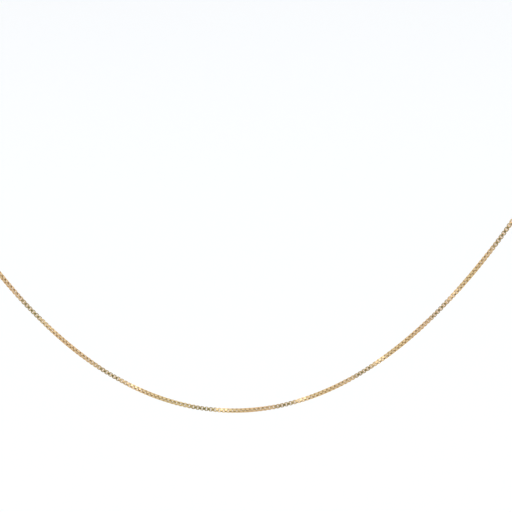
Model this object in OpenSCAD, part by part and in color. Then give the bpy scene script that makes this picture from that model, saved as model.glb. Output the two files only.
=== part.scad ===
// Fine box chain necklace, closed and hanging as it is worn.
// X runs across the wearer, -Y is the front, +Z is up.
// The origin is on the neck's axis, level with the two points where the front drape ends.

/* [Chain] */
// Length of the closed necklace along its middle line, clasp included
necklace_len = 457; // [440:1:480]
// Width of the chain across its flats
chain_w = 0.85; // [0.7:0.05:1]
// Thickness of the flat strip that each box link is bent from
strip_t = 0.15; // [0.13:0.01:0.2]

/* [Front drape] */
// Radius of the hanging curve at its lowest point
drape_r = 38; // [36:1:42]
// Half of the width over which the chain hangs free
drape_half = 57; // [54:1:60]
// How far the drape leans back from the vertical, in degrees
drape_lean = 15; // [5:1:25]
// Distance from the neck's axis forward to the lowest point
front_reach = 60; // [54:1:68]

/* [Round the neck] */
// Height of the clasp above the ends of the drape
nape_rise = 38; // [30:1:46]
// How far the chain keeps the drape's direction as it climbs to the shoulder
shoulder_pull = 42; // [36:1:48]
// How far the chain keeps level on each side of the clasp
nape_pull = 64; // [58:1:70]

/* [Clasp] */
// Outer diameter of the spring ring
clasp_d = 5.5; // [5:0.1:6.5]
// Diameter of the spring ring's tube
clasp_wire = 1; // [0.8:0.05:1.2]
// Inner diameter of the eye that is soldered to the spring ring
eye_in_d = 1.2; // [1:0.1:1.6]
// Wire diameter of that eye
eye_wire = 0.45; // [0.4:0.05:0.55]
// Diameter of the thumb knob
knob_d = 0.7; // [0.5:0.05:0.9]
// Height of the thumb knob above the tube
knob_h = 0.5; // [0.3:0.05:0.8]
// Place of the thumb knob round the ring, in degrees from the eye
knob_angle = 125; // [90:5:150]

/* [Joining rings] */
// Inner diameter of the two jump rings
ring_in_d = 1.8; // [1.6:0.1:2.4]
// Length of the longer box link at each end of the chain
end_link_len = 1.7; // [1.4:0.1:2.2]
// Inner bend radius of the end link's corners
end_bend_r = 0.08; // [0.04:0.01:0.12]

/* [Hidden] */

// Free play on each side of a strip inside the link that it passes through
strip_gap = 0.02;
// Free play on each side of the jump ring's wire inside the end link
wire_gap = 0.045;
// Free play between one ring or link and the next
pull_gap = 0.05;
// How far the eye's hole keeps clear of the spring ring's tube
eye_clear = 0.025;
// Rings of the chain's tube over half of the drape, and from there to the clasp
drape_steps = 13;
shoulder_steps = 26;
// Straight steps that the length from drape to clasp is measured in
measure_steps = 120;
// Halvings that find how far back the clasp lies
halvings = 40;
// Facets of a round section and of a ring
round_fn = 48;

// The strip fits inside the next link, which is set crosswise, and so does the jump ring's wire
link_in_h = chain_w - 2 * strip_t;
strip_w = link_in_h - 2 * strip_gap;
ring_wire = link_in_h - 2 * wire_gap;

// Radii of the middle lines of the rings
ring_r = (ring_in_d + ring_wire) / 2;
eye_r = (eye_in_d + eye_wire) / 2;
clasp_r = (clasp_d - clasp_wire) / 2;

// The eye is sunk into the spring ring's tube as far as its hole allows
eye_set = (clasp_wire - eye_wire) / 2 + eye_clear;

// Places along the clasp's line, counted from the outer face of the left end link
left_ring_at = end_link_len - strip_t - pull_gap - ring_wire / 2 + ring_r;
eye_at = left_ring_at + ring_r - ring_wire / 2 - pull_gap - eye_wire / 2 + eye_r;
clasp_at = eye_at + eye_r + eye_set + clasp_r;
right_ring_at = clasp_at + clasp_r - clasp_wire / 2 - pull_gap - ring_wire / 2 + ring_r;
right_link_at = right_ring_at + ring_r - ring_wire / 2 - pull_gap - strip_t;
clasp_line = right_link_at + end_link_len;
chain_end_x = clasp_line / 2 + pull_gap;

function sinh(x) = (exp(x) - exp(-x)) / 2;
function cosh(x) = (exp(x) + exp(-x)) / 2;
function asinh(x) = ln(x + sqrt(x * x + 1));
function unit(v) = v / norm(v);
function total(v) = v * [for (x = v) 1];
function path_len(p) = total([for (i = [1:len(p) - 1]) norm(p[i] - p[i - 1])]);

// The front hangs as a catenary in a plane that leans back
function drape_rise(x) = drape_r * (cosh(x / drape_r) - 1);
function in_plane(x, rise) = [x, rise * sin(drape_lean), rise * cos(drape_lean)];
lowest = [0, -front_reach, -drape_rise(drape_half) * cos(drape_lean)];
drape_arc = drape_r * sinh(drape_half / drape_r);
function drape_point(arc) =
    let (x = drape_r * asinh(arc / drape_r))
    lowest + in_plane(x, drape_rise(x));
drape_end = drape_point(drape_arc);
drape_dir = unit(in_plane(1, sinh(drape_half / drape_r)));

// From the drape one smooth curve climbs over the shoulder and runs level to the clasp
function nape_point(reach) = [chain_end_x, reach, nape_rise];
function shoulder_point(t, reach) =
    let (nape = nape_point(reach), s = 1 - t)
    s * s * s * drape_end
    + 3 * s * s * t * (drape_end + shoulder_pull * drape_dir)
    + 3 * s * t * t * (nape + [nape_pull, 0, 0])
    + t * t * t * nape;
function shoulder_len(reach) =
    path_len([for (i = [0:measure_steps]) shoulder_point(i / measure_steps, reach)]);
function half_len(reach) = chain_end_x + shoulder_len(reach) + drape_arc;

// The clasp lies as far back as the necklace's length lets it
function find_reach(low, high, n) =
    let (mid = (low + high) / 2)
    n == 0 ? mid
    : 2 * half_len(mid) < necklace_len ? find_reach(mid, high, n - 1)
    : find_reach(low, mid, n - 1);
nape_reach = find_reach(0, necklace_len / 2, halvings);

right_half = concat(
    [for (i = [1:drape_steps]) drape_point(drape_arc * i / drape_steps)],
    [for (i = [1:shoulder_steps]) shoulder_point(i / shoulder_steps, nape_reach)]
);
function mirrored(p) = [-p.x, p.y, p.z];
last = len(right_half) - 1;
route = concat([for (i = [last:-1:0]) mirrored(right_half[i])], [lowest], right_half);

// Section of the chain: the outline round two box links set crosswise
half_w = chain_w / 2;
half_strip = strip_w / 2;
section = [
    [half_w, -half_strip], [half_w, half_strip], [half_strip, half_w], [-half_strip, half_w],
    [-half_w, half_strip], [-half_w, -half_strip], [-half_strip, -half_w], [half_strip, -half_w]
];

// Seen from above the route runs anticlockwise, and both of its ends lie level along X
function direction_at(path, i) =
    i == 0 || i == len(path) - 1 ? [-1, 0, 0] : unit(path[i + 1] - path[i - 1]);

// One flat of the section faces away from the neck all the way round
function away_at(path, i) =
    let (dir = direction_at(path, i), out = [path[i].x, path[i].y, 0])
    unit(out - (out * dir) * dir);
function ring_at(path, i) =
    let (away = away_at(path, i), side = cross(away, direction_at(path, i)))
    [for (q = section) path[i] + q.x * away + q.y * side];

module sweep(path) {
    sides = len(section);
    rings = len(path);
    points = [for (i = [0:rings - 1]) for (p = ring_at(path, i)) p];
    walls = [
        for (i = [0:rings - 2]) for (k = [0:sides - 1])
            let (a = i * sides + k, b = i * sides + (k + 1) % sides)
            [a, b, b + sides, a + sides]
    ];
    first_cap = [for (k = [sides - 1:-1:0]) k];
    last_cap = [for (k = [0:sides - 1]) (rings - 1) * sides + k];
    polyhedron(points, concat(walls, [first_cap, last_cap]));
}

// A round wire closed to a ring in the XY plane
module wire_ring(r, wire) {
    rotate_extrude($fn = round_fn) translate([r, 0]) circle(d = wire, $fn = round_fn);
}

// A rectangle from x = 0 to size.x, centred on Y, with round corners
module round_rectangle(size, r) {
    translate([r, -size.y / 2]) square([size.x - 2 * r, size.y]);
    translate([0, -size.y / 2 + r]) square([size.x, size.y - 2 * r]);
    for (x = [r, size.x - r]) for (y = [r - size.y / 2, size.y / 2 - r])
        translate([x, y]) circle(r = r, $fn = round_fn);
}

// A strip bent round to a closed box, open along Y, from x = 0 to length
module end_link(length) {
    rotate([90, 0, 0]) linear_extrude(strip_w, center = true) difference() {
        round_rectangle([length, chain_w], end_bend_r + strip_t);
        translate([strip_t, 0]) round_rectangle([length - 2 * strip_t, link_in_h], end_bend_r);
    }
}

// Places a piece on the clasp's line at the nape
module on_clasp_line(at) {
    translate([at - clasp_line / 2, nape_reach, nape_rise]) children();
}

module chain() {
    color([0.86, 0.68, 0.42]) sweep(route);
}

module left_end_link() {
    color([0.86, 0.68, 0.42]) on_clasp_line(0) end_link(end_link_len);
}

module right_end_link() {
    color([0.86, 0.68, 0.42]) on_clasp_line(right_link_at) end_link(end_link_len);
}

module left_jump_ring() {
    color([0.86, 0.68, 0.42]) on_clasp_line(left_ring_at) wire_ring(ring_r, ring_wire);
}

module right_jump_ring() {
    color([0.86, 0.68, 0.42]) on_clasp_line(right_ring_at) wire_ring(ring_r, ring_wire);
}

// The spring ring lies flat against the neck, with its eye and thumb knob soldered on
module clasp() {
    color([0.88, 0.7, 0.42]) on_clasp_line(clasp_at) rotate([90, 0, 0]) {
        wire_ring(clasp_r, clasp_wire);
        translate([eye_at - clasp_at, 0]) wire_ring(eye_r, eye_wire);
        rotate([0, 0, 180 - knob_angle]) translate([clasp_r, 0, 0]) rotate([0, 90, 0])
            cylinder(d = knob_d, h = clasp_wire / 2 + knob_h, $fn = round_fn);
    }
}

chain();
left_end_link();
right_end_link();
left_jump_ring();
right_jump_ring();
clasp();
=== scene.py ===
import math
import random

import bpy
import numpy as np
from mathutils import Matrix, Vector


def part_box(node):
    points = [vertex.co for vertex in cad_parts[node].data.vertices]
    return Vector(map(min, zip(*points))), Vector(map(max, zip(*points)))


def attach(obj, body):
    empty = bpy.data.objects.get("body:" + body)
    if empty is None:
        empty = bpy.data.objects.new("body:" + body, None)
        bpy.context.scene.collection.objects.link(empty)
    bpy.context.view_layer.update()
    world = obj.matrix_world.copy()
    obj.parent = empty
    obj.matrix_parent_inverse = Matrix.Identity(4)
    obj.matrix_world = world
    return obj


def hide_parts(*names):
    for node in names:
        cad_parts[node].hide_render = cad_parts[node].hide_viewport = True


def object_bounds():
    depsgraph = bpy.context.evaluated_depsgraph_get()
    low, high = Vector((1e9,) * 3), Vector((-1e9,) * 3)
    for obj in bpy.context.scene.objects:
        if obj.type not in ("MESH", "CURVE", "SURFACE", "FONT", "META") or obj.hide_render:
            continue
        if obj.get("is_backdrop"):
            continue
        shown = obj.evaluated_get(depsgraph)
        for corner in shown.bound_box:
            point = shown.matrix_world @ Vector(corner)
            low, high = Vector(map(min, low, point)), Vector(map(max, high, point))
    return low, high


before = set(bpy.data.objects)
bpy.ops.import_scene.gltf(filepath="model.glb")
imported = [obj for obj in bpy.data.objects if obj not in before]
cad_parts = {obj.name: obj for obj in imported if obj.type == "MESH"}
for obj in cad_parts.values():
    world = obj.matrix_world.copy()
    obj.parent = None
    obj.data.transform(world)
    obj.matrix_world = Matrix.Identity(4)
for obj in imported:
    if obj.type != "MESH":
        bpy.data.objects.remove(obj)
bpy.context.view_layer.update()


# The chain: about a thousand box links. Each is a flat strip of 14 carat gold bent to a square
# inside the one before and soldered shut, with every other link turned by a quarter.
# Rolling and polishing the finished chain has rounded the bends and the strip's edges.

mm = 0.001
link_w = 0.85 * mm
strip_t = 0.15 * mm
strip_gap = 0.02 * mm
strip_w = link_w - 2 * strip_t - 2 * strip_gap
link_step = 0.43 * mm
link_play = 0.01 * mm
link_len = link_step + 2 * strip_t + link_play
bend_r = 0.2 * mm
bend_steps = 2

# The strip's edge is rounded over this much of its thickness, and by this much of its width
edge_in = 0.06 * mm
edge_out = 0.08 * mm

# The front hangs in a curve of its own weight, in a plane that leans back
drape_r = 38 * mm
drape_half = 57 * mm
drape_lean = math.radians(15)
front_reach = 60 * mm
shoulder_pull = 42 * mm
nape_pull = 64 * mm
shoulder_steps = 4000

# The camera looks at a point of the drape's plane, from above square to it
view_distance = 186.3 * mm
view_across = 4.68 * mm
view_rise = 32.55 * mm
view_above = math.radians(19.8)

# Places along the drape, from its lowest point, where a flat of the chain faces the camera
facing_arcs = [-44.2 * mm, -24.4 * mm, -4.1 * mm, 11.8 * mm, 28.3 * mm, 47.3 * mm, 65.9 * mm]
quarter = math.pi / 2

# A link rolls a little against its neighbours, and never so far that it would cut into them
link_roll = 0.008
roll_limit = 0.01

# The links' tone changes every so many links, and ends as the end links' tone
tone_links = 14
end_tone = 0.5

# The bench works in millimetres, because Blender's tools are made for larger things
bench = 1 / mm
# Corners closer than this on the bench are one corner
weld = 0.001
# A face looks along an axis when its normal has more than this along it
facing = 0.9
# Edges that turn by more than this stay sharp, and flats outweigh what is rounded beside them
link_sharp_from = math.radians(50)
flat_weight = 100


def in_plane(x, rise):
    """A step in the drape's own plane, across and up."""
    return Vector((x, rise * math.sin(drape_lean), rise * math.cos(drape_lean)))


def drape_rise(x):
    return drape_r * (math.cosh(x / drape_r) - 1)


lowest = Vector((0, -front_reach, -drape_rise(drape_half) * math.cos(drape_lean)))
drape_arc = drape_r * math.sinh(drape_half / drape_r)


def drape_point(arc):
    x = drape_r * math.asinh(arc / drape_r)
    return lowest + in_plane(x, drape_rise(x))


# Behind the drape the chain climbs over the shoulder and runs level to the clasp
link_low, link_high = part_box("right_end_link")
end_face = Vector((link_high.x, (link_low.y + link_high.y) / 2, (link_low.z + link_high.z) / 2))
drape_end = drape_point(drape_arc)
drape_dir = in_plane(1, math.sinh(drape_half / drape_r)).normalized()
shoulder_a = drape_end + shoulder_pull * drape_dir
shoulder_b = end_face + Vector((nape_pull, 0, 0))


def shoulder_point(t):
    s = 1 - t
    return (s ** 3 * drape_end + 3 * s * s * t * shoulder_a
            + 3 * s * t * t * shoulder_b + t ** 3 * end_face)


shoulder = [shoulder_point(i / shoulder_steps) for i in range(shoulder_steps + 1)]
shoulder_arcs = np.cumsum([0] + [(b - a).length for a, b in zip(shoulder, shoulder[1:])])
shoulder_xyz = np.array(shoulder)
half_arc = drape_arc + shoulder_arcs[-1]


def chain_point(arc):
    """The chain's middle line, this far along it from its lowest point."""
    if abs(arc) <= drape_arc:
        return drape_point(arc)
    past = abs(arc) - drape_arc
    x, y, z = (np.interp(past, shoulder_arcs, shoulder_xyz[:, k]) for k in range(3))
    return Vector((math.copysign(x, arc), y, z))


def chain_dir(arc):
    step = 0.1 * mm
    return (chain_point(arc + step) - chain_point(arc - step)).normalized()


# The last link passes through the end link's wall, so it reaches in by two strips
last_arc = half_arc - link_len / 2 + 2 * strip_t + link_play
half_count = round(last_arc / link_step)
pitch = last_arc / half_count

plane_normal = Vector((0, -math.cos(drape_lean), math.sin(drape_lean)))
view_point = lowest + in_plane(view_across, view_rise)
view_back = Matrix.Rotation(-view_above, 3, "X") @ plane_normal
camera_place = view_point + view_distance * view_back


def angle_about(along, start, end):
    """The angle about the chain from one direction to another."""
    return math.atan2(along.dot(start.cross(end)), start.dot(end))


def facing_turn(arc):
    """The angle about the chain from the drape's plane to the camera."""
    along = chain_dir(arc)
    to_camera = camera_place - chain_point(arc)
    to_camera -= to_camera.dot(along) * along
    return angle_about(along, plane_normal, to_camera)


# The chain is twisted: it turns by a quarter from each facing place to the next
facing_turns = [facing_turn(arc) - k * quarter for k, arc in enumerate(facing_arcs)]
turn_rate = (facing_turns[-1] - facing_turns[0]) / (facing_arcs[-1] - facing_arcs[0])

# The drape plane's normal, carried along the chain without twist to each link
carried = {0: plane_normal}
for end in (-1, 1):
    normal = plane_normal
    for count in range(end, end * (half_count + 1), end):
        along = chain_dir(count * pitch)
        normal = (normal - normal.dot(along) * along).normalized()
        carried[count] = normal


def end_turn(start_arc, start_turn, end):
    """Carries the twist on to the chain's end, where it closes level with the end link."""
    along = chain_dir(end * last_arc)
    level_turn = angle_about(along, carried[end * half_count], Vector((0, 0, 1)))
    level_turn += (half_count % 2) * quarter
    free_turn = start_turn + turn_rate * (end * last_arc - start_arc)
    return level_turn + round((free_turn - level_turn) / math.pi) * math.pi


turn_arcs = [-last_arc, *facing_arcs, last_arc]
turns = [end_turn(facing_arcs[0], facing_turns[0], -1), *facing_turns,
         end_turn(facing_arcs[-1], facing_turns[-1], 1)]


def block(size):
    """A plain block about the bench's middle, to start a shape from."""
    bpy.ops.object.select_all(action="DESELECT")
    bpy.ops.mesh.primitive_cube_add(size=bench)
    bpy.ops.transform.resize(value=size)
    bpy.ops.object.transform_apply(location=True, rotation=True, scale=True)
    return bpy.context.object


def clear_selection(kind):
    bpy.ops.object.mode_set(mode="EDIT")
    bpy.ops.mesh.select_mode(type=kind)
    bpy.ops.mesh.select_all(action="DESELECT")
    bpy.ops.object.mode_set(mode="OBJECT")


def select_edges(piece, wanted):
    """Opens the piece for editing, with each edge selected whose two ends satisfy wanted."""
    clear_selection("EDGE")
    corners = piece.data.vertices
    for edge in piece.data.edges:
        edge.select = wanted(*[corners[v].co for v in edge.vertices])
    bpy.ops.object.mode_set(mode="EDIT")


def select_faces(piece, wanted):
    """Opens the piece for editing, with each face selected that satisfies wanted."""
    clear_selection("FACE")
    for face in piece.data.polygons:
        face.select = wanted(face)
    bpy.ops.object.mode_set(mode="EDIT")


def combine(piece, other, operation):
    """Adds the other shape to the piece, or takes it away, and leaves one closed skin."""
    bpy.ops.object.select_all(action="DESELECT")
    bpy.context.view_layer.objects.active = piece
    piece.select_set(True)
    bpy.ops.object.modifier_add(type="BOOLEAN")
    piece.modifiers[-1].operation = operation
    piece.modifiers[-1].solver = "EXACT"
    piece.modifiers[-1].object = other
    bpy.ops.object.modifier_apply(modifier=piece.modifiers[-1].name)
    bpy.data.objects.remove(other)
    bpy.ops.object.mode_set(mode="EDIT")
    bpy.ops.mesh.select_all(action="SELECT")
    bpy.ops.mesh.remove_doubles(threshold=weld)
    bpy.ops.mesh.dissolve_degenerate(threshold=weld)
    bpy.ops.object.mode_set(mode="OBJECT")


def finish_shading(piece, sharp_from):
    """Flats keep their flat shine, and what is rounded takes up the turn between them."""
    bpy.ops.object.mode_set(mode="OBJECT")
    bpy.ops.object.shade_smooth_by_angle(angle=sharp_from)
    bpy.ops.object.modifier_add(type="WEIGHTED_NORMAL")
    piece.modifiers[-1].weight = flat_weight
    piece.modifiers[-1].keep_sharp = True
    bpy.ops.object.modifier_apply(modifier=piece.modifiers[-1].name)


def mark_faces(piece, name, value_of):
    marks = piece.data.attributes.new(name, "FLOAT", "FACE")
    for face in piece.data.polygons:
        marks.data[face.index].value = value_of(face)


def is_inside(face):
    """Whether this face of a link is on the inside of its strip."""
    return abs(face.normal.y) < 1 - facing and face.normal.dot(face.center) < 0


def bent_link(name, length, bend, steps):
    """A box link along X, open along Y, in millimetres."""
    core_w = strip_w - 2 * edge_out
    link = block((length, core_w, link_w))
    link.name = link.data.name = name
    select_edges(link, lambda a, b: abs((a - b).y) > core_w * bench / 2)
    bpy.ops.mesh.bevel(offset=bend * bench, offset_type="OFFSET", segments=steps, affect="EDGES")
    select_faces(link, lambda face: abs(face.normal.y) > facing)
    bpy.ops.mesh.inset(thickness=edge_in * bench, depth=edge_out * bench)
    bpy.ops.object.mode_set(mode="OBJECT")
    # The bends are sharp on their inside, so the space in the link is square
    space = block((length - 2 * strip_t, link_w, link_w - 2 * strip_t))
    combine(link, space, "DIFFERENCE")
    # The faces inside the strip are marked, so that the gold can paint shade on them
    mark_faces(link, "painted_shade_mask", is_inside)
    mark_faces(link, "link_tone", lambda face: end_tone)
    finish_shading(link, link_sharp_from)
    return link


def take_from_bench(piece, place):
    """Brings a piece's mesh back to metres, in its place on the necklace."""
    piece.data.transform(place @ Matrix.Scale(mm, 4))


def set_link(pattern, count):
    """A copy of the pattern link in its place in the chain."""
    arc = count * pitch
    along = chain_dir(arc)
    roll = max(-roll_limit, min(roll_limit, random.gauss(0, link_roll)))
    turn = np.interp(arc, turn_arcs, turns) + (count % 2) * quarter + roll
    normal = Matrix.Rotation(turn, 3, along) @ carried[count]
    place = Matrix((along, normal, along.cross(normal))).transposed().to_4x4()
    place.translation = chain_point(arc)
    link = pattern.copy()
    link.data = pattern.data.copy()
    take_from_bench(link, place)
    tone = np.interp(count, tone_counts, tones)
    for mark in link.data.attributes["link_tone"].data:
        mark.value = tone
    bpy.context.collection.objects.link(link)
    return link


def join(pieces, name):
    bpy.ops.object.select_all(action="DESELECT")
    for piece in pieces:
        piece.select_set(True)
    bpy.context.view_layer.objects.active = pieces[0]
    bpy.ops.object.join()
    joined = bpy.context.object
    joined.name = joined.data.name = name
    return joined


random.seed(7)
tone_counts = np.linspace(-half_count, half_count, 2 * half_count // tone_links)
tones = [end_tone, *[random.random() for _ in tone_counts[2:]], end_tone]
pattern = bent_link("link_pattern", link_len, bend_r, bend_steps)
links = [set_link(pattern, count) for count in range(-half_count, half_count + 1)]
bpy.data.objects.remove(pattern)
chain = join(links, "box_links")

# The polish is uneven and finely scratched
polish = (0.15, 0.23)
polish_grain = 0.12 * mm
scratch_grain = 0.03 * mm
scratch_depth = 0.002 * mm
scratch_strength = 0.15
grain_detail = 3
grain_from = 0.3
grain_to = 0.7


def grain(tree, size, low, high):
    """A fine pattern whose grains are about this size, between two values."""
    place = tree.nodes.new("ShaderNodeTexCoord")
    noise = tree.nodes.new("ShaderNodeTexNoise")
    noise.inputs["Scale"].default_value = 1 / size
    noise.inputs["Detail"].default_value = grain_detail
    tree.links.new(place.outputs["Object"], noise.inputs["Vector"])
    level = tree.nodes.new("ShaderNodeMapRange")
    level.inputs["From Min"].default_value = grain_from
    level.inputs["From Max"].default_value = grain_to
    level.inputs["To Min"].default_value = low
    level.inputs["To Max"].default_value = high
    tree.links.new(noise.outputs["Fac"], level.inputs["Value"])
    return level.outputs["Result"]


def polished(name, colour):
    """Polished gold of one colour, with its fine scratches."""
    metal = bpy.data.materials.new(name)
    metal.use_nodes = True
    tree = metal.node_tree
    shader = tree.nodes["Principled BSDF"]
    shader.inputs["Base Color"].default_value = (*colour, 1)
    shader.inputs["Metallic"].default_value = 1
    tree.links.new(grain(tree, polish_grain, *polish), shader.inputs["Roughness"])
    bump = tree.nodes.new("ShaderNodeBump")
    bump.inputs["Strength"].default_value = scratch_strength
    bump.inputs["Distance"].default_value = scratch_depth
    tree.links.new(grain(tree, scratch_grain, 0, 1), bump.inputs["Height"])
    tree.links.new(bump.outputs["Normal"], shader.inputs["Normal"])
    return metal


def marked(tree, attribute):
    node = tree.nodes.new("ShaderNodeAttribute")
    node.attribute_name = attribute
    return node.outputs["Fac"]


def mixed(tree, share, first, second):
    """One colour with this share of another in it."""
    node = tree.nodes.new("ShaderNodeMix")
    node.data_type = "RGBA"
    sockets = {socket.identifier: socket for socket in (*node.inputs, *node.outputs)}
    tree.links.new(share, sockets["Factor_Float"])
    for colour, socket in ((first, sockets["A_Color"]), (second, sockets["B_Color"])):
        if isinstance(colour, bpy.types.NodeSocket):
            tree.links.new(colour, socket)
        else:
            socket.default_value = (*colour, 1)
    return sockets["Result_Color"]


# The gold is yellow to rosy, and inside the links it is painted darker: painted shade in the
# recesses
yellow = (0.81, 0.627, 0.33)
rose = (0.86, 0.58, 0.342)
painted_shade = (0.6, 0.44, 0.22)
chain_gold = polished("chain_gold", yellow)
tree = chain_gold.node_tree
toned = mixed(tree, marked(tree, "link_tone"), yellow, rose)
coloured = mixed(tree, marked(tree, "painted_shade_mask"), toned, painted_shade)
tree.links.new(coloured, tree.nodes["Principled BSDF"].inputs["Base Color"])


def dress(piece, metal, node):
    """Gives a piece its metal, and lets it stand for its node."""
    piece.data.materials.append(metal)
    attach(piece, "root")
    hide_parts(node)


dress(chain, chain_gold, "chain")


# The two end links: longer box links of the same strip, which close the chain's ends and leave
# room for the jump rings. Each goes round the last small link and is soldered shut.

end_bend_r = 0.23 * mm
end_bend_steps = 6


def middle_of(node):
    low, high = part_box(node)
    return (low + high) / 2


for side in ("left", "right"):
    node = f"{side}_end_link"
    low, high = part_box(node)
    link = bent_link(f"{side}_closing_link", high.x - low.x, end_bend_r, end_bend_steps)
    take_from_bench(link, Matrix.Translation(middle_of(node)))
    dress(link, chain_gold, node)


# The two jump rings: round gold wire wound to a ring, cut, closed and soldered, which leaves a
# faint groove across the wire where its ends meet. They join the end links to the clasp.

ring_steps = 64
wire_sides = 24
seam_depth = 0.012 * mm
seam_half = math.radians(1.2)
ring_sharp_from = math.radians(60)


def selected_middle(piece):
    bpy.ops.object.mode_set(mode="OBJECT")
    chosen = [corner.co for corner in piece.data.vertices if corner.select]
    bpy.ops.object.mode_set(mode="EDIT")
    return sum(chosen, Vector()) / len(chosen)


def wire_ring(name, ring_r, wire, stretches):
    """A closed ring of round wire about Z, in millimetres.

    It is spun clockwise from a section at +X through stretches of (angle, steps, wire there).
    """
    bpy.ops.object.select_all(action="DESELECT")
    bpy.ops.mesh.primitive_circle_add(vertices=wire_sides, radius=wire / 2 * bench,
                                      location=(ring_r * bench, 0, 0), rotation=(quarter, 0, 0))
    ring = bpy.context.object
    ring.name = ring.data.name = name
    bpy.ops.object.transform_apply(location=True, rotation=True, scale=True)
    bpy.ops.object.mode_set(mode="EDIT")
    bpy.ops.mesh.select_mode(type="VERT")
    bpy.ops.mesh.select_all(action="SELECT")
    for angle, steps, wire_there in stretches:
        bpy.ops.mesh.spin(steps=steps, angle=angle, center=(0, 0, 0), axis=(0, 0, 1))
        share = wire_there / wire
        bpy.ops.transform.resize(value=(share,) * 3, center_override=selected_middle(ring))
        wire = wire_there
    bpy.ops.mesh.select_all(action="SELECT")
    bpy.ops.mesh.remove_doubles(threshold=weld)
    bpy.ops.mesh.normals_make_consistent(inside=False)
    bpy.ops.object.mode_set(mode="OBJECT")
    return ring


finding_yellow = (0.85, 0.65, 0.36)
finding_gold = polished("finding_gold", finding_yellow)
for side in ("left", "right"):
    node = f"{side}_jump_ring"
    low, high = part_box(node)
    wire = high.z - low.z
    groove = wire - 2 * seam_depth
    ring = wire_ring(f"{side}_joining_ring", (high.x - low.x - wire) / 2, wire, [
        (2 * math.pi - 2 * seam_half, ring_steps, wire), (seam_half, 1, groove),
        (seam_half, 1, wire)])
    finish_shading(ring, ring_sharp_from)
    take_from_bench(ring, Matrix.Translation(middle_of(node)) @ Matrix.Rotation(quarter, 4, "Z"))
    dress(ring, finding_gold, node)


# The clasp: a spring ring. Its bolt, a thinner wire with a thumb knob, bridges the gap between
# the two ends of a gold tube, and a round eye is soldered to the tube with a little fillet.
# One jump ring hangs in the eye, and the other in the ring that the bolt closes.

clasp_d = 5.5 * mm
tube_d = 1 * mm
tube_steps = 88
clasp_r = (clasp_d - tube_d) / 2
eye_r = 0.825 * mm
eye_wire = 0.45 * mm
eye_across = 3.375 * mm
eye_steps = 40
knob_d = 0.7 * mm
knob_top = 1 * mm
knob_turn = math.radians(55)
knob_sides = 32
knob_round = 0.1 * mm
knob_round_steps = 4
bolt_d = 0.84 * mm
bolt_from = math.radians(2)
bolt_to = math.radians(46)
bolt_steps = 14
# The tube's mouth narrows to a lip, and from there steps down to the bolt
lip_turn = math.radians(1.6)
lip_d = 0.94 * mm
lip_step = 0.002
fillet_at = (2.68 * mm, 0.5 * mm)
fillet_size = (0.25 * mm, 0.25 * mm, 0.27 * mm)
fillet_sides = 24
fillet_rings = 14
clasp_sharp_from = math.radians(40)

tube_turn = 2 * math.pi - (bolt_to - bolt_from) - 2 * lip_turn
clasp = wire_ring("spring_ring", clasp_r, tube_d, [
    (tube_turn, tube_steps, tube_d), (lip_turn, 1, lip_d), (lip_step, 1, bolt_d),
    (bolt_to - bolt_from - 2 * lip_step, bolt_steps, bolt_d), (lip_step, 1, lip_d),
    (lip_turn, 1, tube_d)])
clasp.data.transform(Matrix.Rotation(bolt_from - lip_turn, 4, "Z"))

bpy.ops.object.select_all(action="DESELECT")
bpy.ops.mesh.primitive_cylinder_add(
    vertices=knob_sides, radius=knob_d / 2 * bench, depth=knob_top * bench,
    location=((clasp_r + knob_top / 2) * bench, 0, 0), rotation=(0, quarter, 0))
knob = bpy.context.object
bpy.ops.object.transform_apply(location=True, rotation=True, scale=True)
select_edges(knob, lambda a, b: min(a.x, b.x) > (clasp_r + knob_top / 2) * bench)
bpy.ops.mesh.bevel(offset=knob_round * bench, offset_type="OFFSET", segments=knob_round_steps,
                   affect="EDGES")
bpy.ops.object.mode_set(mode="OBJECT")
knob.data.transform(Matrix.Rotation(knob_turn, 4, "Z"))
combine(clasp, knob, "UNION")

eye = wire_ring("eye", eye_r, eye_wire, [(2 * math.pi, eye_steps, eye_wire)])
eye.data.transform(Matrix.Translation((-eye_across * bench, 0, 0)))
combine(clasp, eye, "UNION")
for side in (-1, 1):
    bpy.ops.object.select_all(action="DESELECT")
    bpy.ops.mesh.primitive_uv_sphere_add(segments=fillet_sides, ring_count=fillet_rings,
                                         radius=bench)
    solder = bpy.context.object
    bpy.ops.object.mode_set(mode="EDIT")
    bpy.ops.transform.resize(value=fillet_size)
    bpy.ops.object.mode_set(mode="OBJECT")
    spot = Vector((-fillet_at[0], side * fillet_at[1], 0))
    solder.data.transform(Matrix.Translation(spot * bench))
    combine(clasp, solder, "UNION")
finish_shading(clasp, clasp_sharp_from)

clasp_low, clasp_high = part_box("clasp")
clasp_place = Vector((clasp_high.x - clasp_d / 2, (clasp_low.y + clasp_high.y) / 2,
                      clasp_low.z + clasp_d / 2))
take_from_bench(clasp, Matrix.Translation(clasp_place) @ Matrix.Rotation(quarter, 4, "X"))
dress(clasp, finding_gold, "clasp")


# The studio: a white sheet well below the hanging chain, a white room that is dimmer on the
# camera's side, and one long softbox, level overhead. The flats that face the camera mirror the
# dark oval of the camera and its stand, which is a card that only they see.

floor_size = 6
floor_drop = 0.12
floor_white = (1, 1, 1)
seen_white = (0.97, 1, 1)
room_front = (0.8, 0.82, 0.84)
room_back = (0.96, 0.98, 1)
room_blend = 0.4
card_size = (140 * mm, 80 * mm)
card_low = 30 * mm
card_behind = 4 * mm
card_sides = 64
card_dark = (0.2, 0.25, 0.22)
softbox_size = (3, 0.48)
softbox_place = (-0.25, -0.33, 1)
softbox_turn = math.radians(12)
softbox_strength = 1
half_field = 0.256
camera_roll = math.radians(1.53)
nearest = 10 * mm
farthest = 20

bpy.ops.object.select_all(action="DESELECT")
bpy.ops.mesh.primitive_plane_add(size=floor_size, location=(0, 0, -floor_drop))
floor = bpy.context.object
floor.name = "floor"
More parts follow.
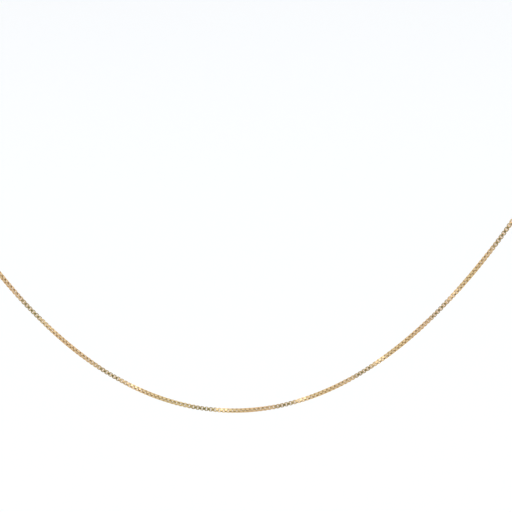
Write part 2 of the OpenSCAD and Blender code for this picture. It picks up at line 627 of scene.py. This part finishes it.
# The gold mirrors the white room all round, and not the sheet
floor.visible_glossy = False
paper = bpy.data.materials.new("floor_white")
paper.use_nodes = True
paper.node_tree.nodes["Principled BSDF"].inputs["Base Color"].default_value = (*floor_white, 1)
floor.data.materials.append(paper)
floor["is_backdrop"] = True

# The camera sees plain white, and everything else is lit by the room
world = bpy.data.worlds.new("studio")
bpy.context.scene.world = world
world.use_nodes = True
tree = world.node_tree
seen = tree.nodes["Background"]
seen.inputs["Color"].default_value = (*seen_white, 1)
place = tree.nodes.new("ShaderNodeTexCoord")
ahead = tree.nodes.new("ShaderNodeVectorMath")
ahead.operation = "DOT_PRODUCT"
ahead.inputs[1].default_value = view_back
tree.links.new(place.outputs["Generated"], ahead.inputs[0])
in_front = tree.nodes.new("ShaderNodeMapRange")
in_front.interpolation_type = "SMOOTHSTEP"
in_front.inputs["From Min"].default_value = -room_blend
in_front.inputs["From Max"].default_value = room_blend
tree.links.new(ahead.outputs["Value"], in_front.inputs["Value"])
room = tree.nodes.new("ShaderNodeBackground")
tree.links.new(mixed(tree, in_front.outputs["Result"], room_back, room_front),
               room.inputs["Color"])
path = tree.nodes.new("ShaderNodeLightPath")
either = tree.nodes.new("ShaderNodeMixShader")
tree.links.new(path.outputs["Is Camera Ray"], either.inputs[0])
tree.links.new(room.outputs["Background"], either.inputs[1])
tree.links.new(seen.outputs["Background"], either.inputs[2])
tree.links.new(either.outputs["Shader"], tree.nodes["World Output"].inputs["Surface"])

view_right = Vector((1, 0, 0))
view_up = view_back.cross(view_right)
view_frame = Matrix((view_right, view_up, view_back)).transposed().to_4x4()

bpy.ops.mesh.primitive_circle_add(vertices=card_sides, radius=1, fill_type="NGON")
card = bpy.context.object
card.name = "lens_card"
card_place = camera_place + card_behind * view_back - card_low * view_up
card.data.transform(Matrix.Translation(card_place) @ view_frame
                    @ Matrix.Diagonal((*card_size, 1, 1)))
card.visible_camera = card.visible_diffuse = card.visible_shadow = False
card_grey = bpy.data.materials.new("card_grey")
card_grey.use_nodes = True
shader = card_grey.node_tree.nodes["Principled BSDF"]
shader.inputs["Base Color"].default_value = (*card_dark, 1)
shader.inputs["Specular IOR Level"].default_value = 0
card.data.materials.append(card_grey)
card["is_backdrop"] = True

# With this power and a strength of 1, the softbox's face is as bright as a white room
light = bpy.data.lights.new("softbox", "AREA")
light.shape = "RECTANGLE"
light.size, light.size_y = softbox_size
light.energy = softbox_strength * math.pi * softbox_size[0] * softbox_size[1]
softbox = bpy.data.objects.new("softbox", light)
bpy.context.collection.objects.link(softbox)
softbox.location = softbox_place
softbox.rotation_euler.z = softbox_turn
softbox.visible_camera = False

camera_data = bpy.data.cameras.new("camera")
camera_data.lens = camera_data.sensor_width / 2 / half_field
camera_data.clip_start = nearest
camera_data.clip_end = farthest
camera = bpy.data.objects.new("camera", camera_data)
bpy.context.collection.objects.link(camera)
camera.matrix_world = (Matrix.Translation(camera_place)
                       @ Matrix.Rotation(camera_roll, 4, view_back) @ view_frame)
bpy.context.scene.camera = camera
bpy.context.scene.view_settings.view_transform = "Standard"

low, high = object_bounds()
